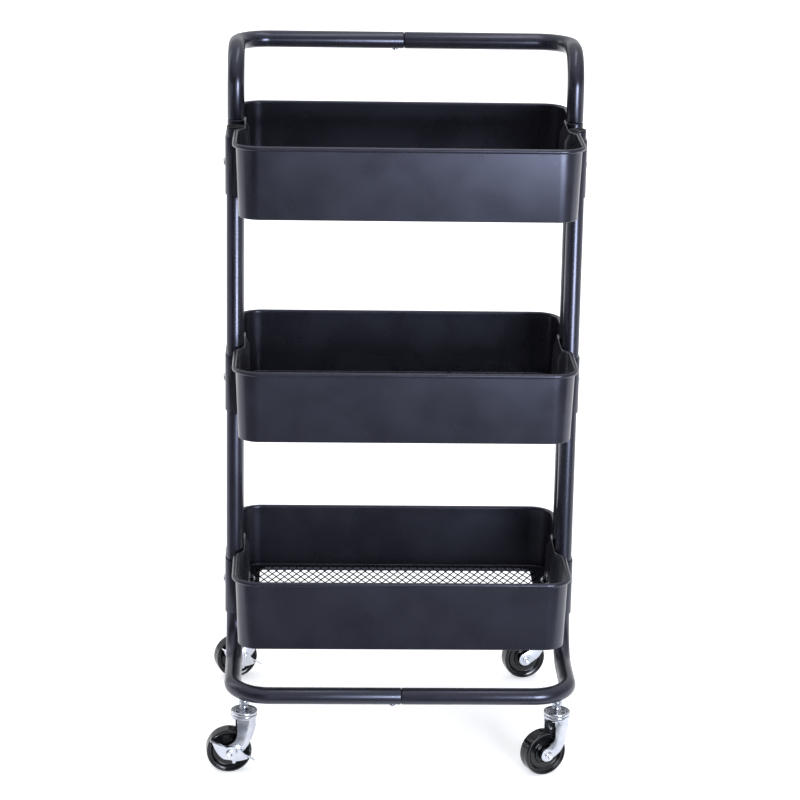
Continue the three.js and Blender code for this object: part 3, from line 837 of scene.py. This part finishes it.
# ---------- casters ----------
# They are drawn with the stem on the Z axis, the wheel trailing towards -X and the floor at 0.
TRAIL = 17
FORK_HALF = 13.5
FORK_SHEET = 2
FORK_TOP = 64.5
EYE = 9
AXLE_HOLE = 3.2
HEAD_GAP = 0.35
BRAKE_INNER = 13.9
BRAKE_SHEET = 1.2
BRAKE_FLANGE = 4
PLATE_FACE = 70.6
POCKET_INNER = 6.2
POCKET_OUTER = 10.5
THREAD = 3.9
THREAD_ROOT = 3.6


def caster_stem():
    """Kingpin, dished swivel plate with raised and sunk parts, hexagon neck and threaded stem, all as one."""
    sides = 72
    profile = [(0, 57.8), (4.2, 57.8), (5.2, 58.4), (5.2, 59.7), (3, 59.7), (3, 68.3)]
    rim = rounded([(3, 68.3), (15.2, 68.3), (15.2, 71.9), (12.8, 72.75), (10.9, 71.2), (10.6, PLATE_FACE),
                   (POCKET_INNER, PLATE_FACE)], [0, 0.9, 1.6, 1.6, 0.5, 0.3, 0], 6)
    pocket = [(r, PLATE_FACE) for r in (10.4, 9.8, 9.0, 8.2, 7.4, 6.6, POCKET_INNER)]
    neck = [(5.0, 70.9), (5.0, 74.4), (4.4, 74.9), (THREAD, 75.2)]
    for k in range(8):
        neck += [(THREAD, 75.6 + k), (THREAD_ROOT, 76.1 + k)]
    profile += plain(rim[1:-1]) + pocket + neck + [(THREAD, 91.2), (3.2, 92), (0, 92)]
    rings = []
    for radius, height in profile:
        if radius == 0:
            rings.append([Vector((0, 0, height))])
            continue
        ring = []
        for k in range(sides):
            angle = 2 * math.pi * k / sides
            r, z = radius, height
            on_hexagon = 4.3 < radius < 5.1 and height > 70
            if on_hexagon:
                r = min(radius * 1.08, radius / math.cos(off_flat(angle)))
            if POCKET_INNER < radius < POCKET_OUTER and height == PLATE_FACE:
                across = math.sin(math.pi * (radius - POCKET_INNER) / (POCKET_OUTER - POCKET_INNER))
                swell = math.cos(2 * angle)
                z += across * (1.5 * max(0, swell) ** 3 - 0.9 * max(0, -swell) ** 2)
            ring.append(Vector((r * math.cos(angle), r * math.sin(angle), z)))
        rings.append(ring)
    return skin(rings)


def collar_mesh(side, end):
    """Round nut welded under the base tube, with a groove round it and its top shaped to the tube."""
    place = stem_place(side, end)
    bore, bottom, hidden_top, outer = 4.5, 78.5, 91, 5.65
    profile = rounded([(bore, bottom), (5.2, bottom), (outer, 79.4), (outer, 82.4), (5.1, 83.2), (outer, 84.1),
                       (outer, hidden_top), (bore, hidden_top)], [0, 0.3, 0.4, 0.4, 0.5, 0.3, 0, 0], 3)
    mesh = turned(plain(profile), 40)
    mesh.transform(Matrix.Translation(place))
    x, leg_y, bar_y = side * COLUMN_X, end * COLUMN_Y, end * BASE_Y
    corners = [(x, leg_y, BASE_Z + 60), (x, leg_y, BASE_Z), (x, bar_y, BASE_Z), (0, bar_y, BASE_Z)]
    path = stations_along(rounded(corners, [0, LEG_BEND, CORNER_BEND, 0], BEND_STEPS))
    bar = skin([ring_at(station, TUBE + 0.25) for station in path])
    return combined(mesh, bar, "DIFFERENCE")


def fork_edges():
    """The fork's front and rear edges in side view, as pairs of points from the cup down to the eye's end."""
    steps = 16
    neck_rear = -8.5
    front = [Vector((FORK_HALF, FORK_TOP)), Vector((FORK_HALF, 58)), Vector((FORK_HALF, 53))]
    front += bezier((FORK_HALF, 53), (12, 44), (7, 33.4), (-0.7, WHEEL_RADIUS + 0.6), steps)
    front += arc(-TRAIL, WHEEL_RADIUS, EYE, -40, -166, steps)
    rear = [Vector((neck_rear, FORK_TOP)), Vector((neck_rear, 58)), Vector((neck_rear, 50))]
    rear += bezier((neck_rear, 50), (-8.6, 40), (-12.5, 36.9), (-20.5, WHEEL_RADIUS + 8.3), steps)
    rear += arc(-TRAIL, WHEEL_RADIUS, EYE, 113, 192, steps)
    return list(zip(front, rear))


def fork_ring(front, rear, share):
    """One section of the fork's sheet: from one arm's rear edge round the nose to the other, and back inside.

    The nose is a half circle where share is 0 and has small corners where share is 1.
    """
    small_corner = 4.2
    depth = (rear - front).length
    inward = (rear - front).normalized()
    corner = FORK_HALF + (small_corner - FORK_HALF) * share
    corner = max(min(corner, depth * 0.85), 0.3)
    wall = min(FORK_SHEET, depth * 0.5)
    inner_corner = max(corner - wall, 0.15)

    def at(distance, y):
        spot = front + inward * distance
        return Vector((spot.x, y, spot.y))

    def side(half, lead, bend, sign):
        quarter = [math.radians(90 * k / 12) for k in range(13)]
        curve = [at(lead + bend - bend * math.cos(a), sign * (half - bend + bend * math.sin(a)))
                 for a in quarter]
        return [*curve, at(depth, sign * half)]

    outside = list(reversed(side(FORK_HALF, 0, corner, -1))) + side(FORK_HALF, 0, corner, 1)
    inside = list(reversed(side(FORK_HALF - FORK_SHEET, wall, inner_corner, 1)))
    return outside + inside + side(FORK_HALF - FORK_SHEET, wall, inner_corner, -1)


def fork_mesh():
    """The horn: bent arms cleared for the wheel, the swivel cup on top, and rings round the axle holes."""
    bend_start, bend_end = 3, 19
    rings = []
    for i, (front, rear) in enumerate(fork_edges()):
        share = clamped((i - bend_start) / (bend_end - bend_start))
        rings.append(fork_ring(front, rear, share * share * (3 - 2 * share)))
    arms = skin(rings)
    hub = Vector((-TRAIL, 0, WHEEL_RADIUS))
    wheel_room = Vector((0, 9.7, 0))
    arms = combined(arms, rod(hub - wheel_room, hub + wheel_room, WHEEL_RADIUS + 1.8, 96), "DIFFERENCE")
    arms = eased(arms, 0.45, 2, 40)
    cup_section = [(3.3, 62.4), (11.6, 62.4), (14.2, 63.8), (15, 65.2), (15, 68), (12.6, 68), (3.3, 66.6)]
    cup = turned(rounded(cup_section, [0, 1.5, 1.0, 0.9, 0.9, 0.8, 0], 4), 72)
    arms = combined(arms, cup, "UNION")
    through = Vector((0, 20, 0))
    arms = drilled(arms, hub - through, hub + through, AXLE_HOLE)
    for sign in (-1, 1):
        ring = turned(rounded([(3.25, -0.5), (3.25, 0.25), (5.4, 0.25), (6.6, 0.28), (7.2, -0.5)],
                              [0, 0.1, 0.2, 0.25, 0], 3), 40)
        ring.transform(Matrix.Translation((-TRAIL, sign * FORK_HALF, WHEEL_RADIUS))
                       @ Matrix.Rotation(-sign * math.pi / 2, 4, "X"))
        arms = combined(arms, ring, "UNION")
    return arms


def axle_mesh(near):
    """Axle rivet, with a domed, ringed and dimpled head at each end; near is how far out the -Y head sits."""
    far = FORK_HALF + HEAD_GAP
    head = [(2.9, 0), (4.4, 0), (4.4, 0.7), (3.9, 1.35), (3.0, 1.6), (2.3, 1.3), (1.7, 0.75), (1.1, 0.55),
            (0, 0.5)]
    head = rounded(head, [0, 0.1, 0.35, 0.4, 0.4, 0.4, 0.3, 0.2, 0], 3)
    upper = [(p[0], far + p[1]) for p in head]
    lower = [(p[0], -near - p[1]) for p in reversed(head)]
    mesh = turned(lower + upper, 40)
    mesh.transform(Matrix.Rotation(-math.pi / 2, 4, "X"))
    return mesh


def wheel_mesh():
    """Moulded wheel: rounded tread with a parting line, stepped face, dished web and ringed hub."""
    section = [(8.5, 10.5), (8.5, 4.6), (10.4, 4.4), (10.6, 6.2), (12.2, 6.0), (12.6, 3.4), (18.2, 3.8),
               (20.6, 6.4), (22.2, 6.7), (22.6, 8.2), (24.4, 8.3), (25.25, 7.0), (25.35, 0.35), (25.1, 0)]
    half = rounded(section, [0.5, 0.4, 0.3, 0.4, 0.4, 0.8, 1.0, 0.7, 0.25, 0.3, 0.5, 0.9, 0.1, 0], 4)
    half = [(3.3, 10.2), (3.7, 10.5), (8.1, 10.5), (8.5, 10.1)] + plain(half[1:])
    other = [(r, -h) for r, h in reversed(half[:-1])]
    mesh = turned(half + other, 96)
    mesh.transform(Matrix.Rotation(-math.pi / 2, 4, "X"))
    return mesh


def brake_mesh():
    """Pressed brake lever: a rocking plate with a raised rib, and a strip folded outwards along its top."""
    outer = BRAKE_INNER + BRAKE_SHEET
    rocker = [(-20.5, 16.6)] + bezier((-20.5, 16.6), (-17.8, 5.7), (-13.3, -2.2), (-7, -6.6), 10)
    rocker += [(2.4, -8.4), (3.2, -12.1), (6, -12.1), (6.8, -9.6)]
    rocker += bezier((6.8, -9.6), (11.6, -9.5), (16.1, -8.6), (20.4, -7), 6)
    rocker += [(15.6, -0.4), (9.4, 7), (3, 8.8), (-4.5, 7.8)]
    strip_top = [(-21.6, 17.2), (-4.6, 8.8), (3.2, 9.8), (10, 7.8), (16.4, 0.2), (27.8, -7.6)]
    strip_foot = [(27.1, -8.6), (15.4, -0.6), (9.2, 6.8), (3.1, 8.6), (-4.8, 7.6), (-22, 16.1)]
    strip = rounded(strip_top, [0, 3, 4, 4, 5, 0], 5) + rounded(strip_foot, [0, 5, 4, 4, 3, 0], 5)
    plate = drawn_in_side_view(pulled(rocker, BRAKE_INNER, outer))
    fold = drawn_in_side_view(pulled(strip, BRAKE_INNER, outer + BRAKE_FLANGE))
    mesh = combined(plate, fold, "UNION")
    rib_x, rib_half, sunk = 7.9, 1.25, 0.2
    half_turn = [math.radians(k * 30 - 90) for k in range(7)]
    rib = skin([[Vector((rib_x + rib_half * math.sin(a), -outer + sunk - math.cos(a) * rise, z))
                 for a in half_turn]
                for z, rise in ((-8.6, 0.5), (-7.8, 1), (6.4, 1), (7.2, 0.5))])
    mesh = combined(mesh, rib, "UNION")
    mesh = eased(mesh, 0.25, 2, 35)
    return drilled(mesh, (0, -25, 0), (0, -10, 0), AXLE_HOLE)


def build_casters():
    stem, fork, wheel, brake = caster_stem(), fork_mesh(), wheel_mesh(), brake_mesh()
    for end_name, end in (("front", -1), ("rear", 1)):
        for side_name, side in SIDES.items():
            name = f"{end_name}_{side_name}"
            axis = joint_named(f"{name}_wheel_roll")["axis"]
            turn = math.atan2(-axis[0], axis[1])
            braked = f"{name}_brake" in frame["bodies"]
            stand = Matrix.Translation(stem_place(side, end))
            swivel = stand @ Matrix.Rotation(turn, 4, "Z")
            hub = swivel @ Matrix.Translation((-TRAIL, 0, WHEEL_RADIUS))
            piece(f"{name}_weld_nut", collar_mesh(side, end), ZINC, "frame", [f"{name}_collar"])
            piece(f"{name}_swivel_plate", stem.copy(), ZINC, "frame", [f"{name}_stem"], stand)
            piece(f"{name}_horn", fork.copy(), ZINC, f"{name}_swivel", [f"{name}_fork"], swivel)
            near = BRAKE_INNER + BRAKE_SHEET + 0.3 if braked else FORK_HALF + HEAD_GAP
            piece(f"{name}_axle_rivet", axle_mesh(near), ZINC, f"{name}_swivel", [f"{name}_axle"], hub)
            piece(f"{name}_roller", wheel.copy(), WHEEL_PLASTIC, f"{name}_wheel",
                  [f"{name}_wheel"], hub)
            if braked:
                piece(f"{name}_brake_lever", brake.copy(), ZINC, f"{name}_brake", [f"{name}_brake"],
                      hub)


# ---------- studio ----------
EYE_PLACE = Vector((-115.0, -3164.6, 1310.5))
EYE_TURN = 0.03581
EYE_TILT = -0.28234
EYE_ROLL = 0.01734
LENS = 130.08


def build_camera():
    """A long lens a little above the cart; turn is to the right of +Y, and all angles are in radians."""
    eye = (EYE_PLACE + cart_middle) * MM
    turn, tilt, roll = EYE_TURN, EYE_TILT, EYE_ROLL
    ahead = Vector((math.sin(turn) * math.cos(tilt), math.cos(turn) * math.cos(tilt), math.sin(tilt)))
    level = Vector((math.cos(turn), -math.sin(turn), 0))
    up = level.cross(ahead)
    right = level * math.cos(roll) + up * math.sin(roll)
    up = up * math.cos(roll) - level * math.sin(roll)
    lens = bpy.data.cameras.new("camera")
    lens.lens = LENS
    lens.sensor_width = 36
    lens.clip_end = 50
    camera = as_object(lens, "camera")
    camera.matrix_world = Matrix.Translation(eye) @ Matrix((right, up, -ahead)).transposed().to_4x4()
    scene.camera = camera


# The floor's own light near the cart and far from it, and the radii between which it changes.
FLOOR_GLOW_NEAR = 0.42
FLOOR_GLOW_FAR = 0.6
GLOW_INNER = 0.4
GLOW_OUTER = 1.8
FLOOR_RADIUS = 12
LIGHT_TARGET = Vector((0, 0, 0.4))
BACKDROP = 1.1


def soft_light(name, place, size, power, tint=(1, 1, 1)):
    """A rectangular soft box that faces the middle of the cart."""
    light = bpy.data.lights.new(name, "AREA")
    light.shape = "RECTANGLE"
    light.size, light.size_y = size
    light.energy = power
    light.color = tint
    made = as_object(light, name)
    made.visible_camera = False
    made.location = place
    made.rotation_euler = (LIGHT_TARGET - made.location).to_track_quat("-Z", "Y").to_euler()


def build_world():
    """A white room: bright overhead and behind the cart, dim on the side it faces, and white to the camera."""
    world = bpy.data.worlds.new("studio")
    world.use_nodes = True
    scene.world = world
    tree = world.node_tree
    background = tree.nodes["Background"]

    def made(kind, inputs, **settings):
        node = tree.nodes.new(kind)
        for key, value in settings.items():
            setattr(node, key, value)
        for key, value in inputs.items():
            if isinstance(value, bpy.types.NodeSocket):
                tree.links.new(value, node.inputs[key])
            else:
                node.inputs[key].default_value = value
        return node

    direction = made("ShaderNodeTexCoord", {}).outputs["Generated"]
    parts = made("ShaderNodeSeparateXYZ", {0: direction}).outputs
    behind = made("ShaderNodeMapRange", {"Value": parts["Y"], "From Min": -0.6, "From Max": 0.6,
                                         "To Min": 0.06, "To Max": 0.8})
    above = made("ShaderNodeMapRange", {"Value": parts["Z"], "From Min": 0.2, "From Max": 0.75,
                                        "To Min": 0.06, "To Max": 1.1})
    light = made("ShaderNodeMath", {0: behind.outputs[0], 1: above.outputs[0]}, operation="MAXIMUM")
    seen = made("ShaderNodeLightPath", {}).outputs["Is Camera Ray"]
    strength = made("ShaderNodeMix", {"Factor": seen, "A": light.outputs[0], "B": BACKDROP})
    tree.links.new(strength.outputs[0], background.inputs["Strength"])
    background.inputs["Color"].default_value = (0.94, 0.96, 1.0, 1)


def build_floor():
    """A round of white paper whose own faint light keeps it white to its edge."""
    paper = Finish("white studio floor")
    shade = paper.between(paper.noise(400, 2), 0.93, 0.95)
    reach = paper.node("ShaderNodeVectorMath", {0: paper.place}, operation="LENGTH").outputs["Value"]
    glow = paper.between(reach, FLOOR_GLOW_NEAR, FLOOR_GLOW_FAR, GLOW_INNER, GLOW_OUTER)
    paper.finished(Base_Color=paper.grey(shade), Roughness=0.9, Emission_Strength=glow)
    ground = bpy.data.meshes.new("studio_floor")
    rim = arc(0, 0, FLOOR_RADIUS, 0, 360, 96)[:-1]
    ground.from_pydata([Vector((p.x, p.y, 0)) for p in rim], [], [list(range(len(rim)))])
    ground.materials.append(paper.material)
    as_object(ground, "studio_floor")


def studio_card(name, tone, corners):
    """A card that only glossy things mirror: it casts no shadow and the camera doesn't see it."""
    felt = Finish(name)
    fuzz = felt.between(felt.noise(3, 2), tone * 0.95, tone * 1.05)
    felt.finished(Base_Color=felt.grey(fuzz), Roughness=1.0)
    sheet = bpy.data.meshes.new(name)
    sheet.from_pydata(corners, [], [(0, 1, 2, 3)])
    sheet.materials.append(felt.material)
    card = as_object(sheet, name)
    card.visible_camera = card.visible_shadow = card.visible_diffuse = False


def build_studio():
    build_floor()
    build_world()
    studio_card("grey floor card", 0.24,
                [(-3, -4, 0.002), (3, -4, 0.002), (3, -0.24, 0.002), (-3, -0.24, 0.002)])
    studio_card("black side card", 0.003,
                [(-1.38, -1.39, 0.02), (-0.58, -1.81, 0.02), (-0.58, -1.81, 1.1), (-1.38, -1.39, 1.1)])
    soft_light("overhead strip", (0.25, -0.1, 2.3), (1.5, 0.4), 7)
    soft_light("right front box", (1.0, -2.3, 0.5), (1.0, 0.8), 84, (0.82, 0.88, 1))
    soft_light("left rear box", (-2.3, 1.2, 1.4), (0.8, 1.8), 8)
    scene.view_settings.view_transform = "Standard"


build_camera()
build_frame()
build_seam_screws()
build_trays()
build_straps()
build_casters()
build_studio()

bpy.context.view_layer.update()
